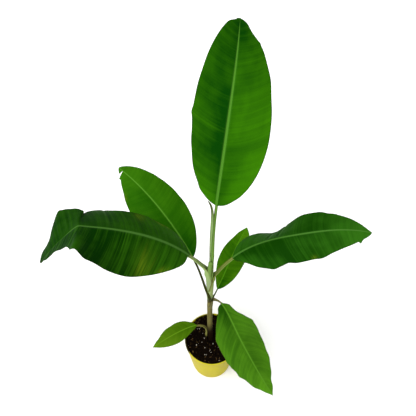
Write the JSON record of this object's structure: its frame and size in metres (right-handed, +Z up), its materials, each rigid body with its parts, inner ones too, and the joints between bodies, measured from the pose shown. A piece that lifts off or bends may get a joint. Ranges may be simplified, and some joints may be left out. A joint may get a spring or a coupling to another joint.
{
  "type": "potted banana plant",
  "caption": "Young banana plant with broad arching leaves on a slender pseudostem, in a tapered round nursery pot filled with potting mix.",
  "frame": {"origin": "centre of the pot's flat underside, on the surface the pot stands on", "axes": "+Z up the stem, +X towards the right leaf, -Y towards the side the front leaf droops to"},
  "size_m": [0.5223, 0.3162, 0.7309],
  "materials": {
    "pot_plastic": "moulded yellow plastic, semi-gloss",
    "potting_mix": "damp dark peat mix with fibres and pale grains",
    "stem_tissue": "waxy pale green sheaths, tan and dry towards the foot",
    "rolled_leaf": "waxy pale green with an olive edge",
    "petiole_tissue": "waxy light green",
    "leaf_blade": "fresh green leaf with a soft sheen, paler midrib and fine cross veins"
  },
  "bodies": {
    "root": {"pot": "pot_plastic", "potting_mix": "potting_mix", "pseudostem": "stem_tissue", "rolled_leaf": "rolled_leaf", "petiole_top": "petiole_tissue", "petiole_left": "petiole_tissue", "petiole_rear_left": "petiole_tissue", "petiole_right": "petiole_tissue", "petiole_front": "petiole_tissue", "petiole_rear_right": "petiole_tissue", "petiole_low": "petiole_tissue", "blade_top": "leaf_blade", "blade_left": "leaf_blade", "blade_left_tip": "leaf_blade", "blade_rear_left": "leaf_blade", "blade_right": "leaf_blade", "blade_front": "leaf_blade", "blade_rear_right": "leaf_blade", "blade_low": "leaf_blade"}
  },
  "joints": []
}
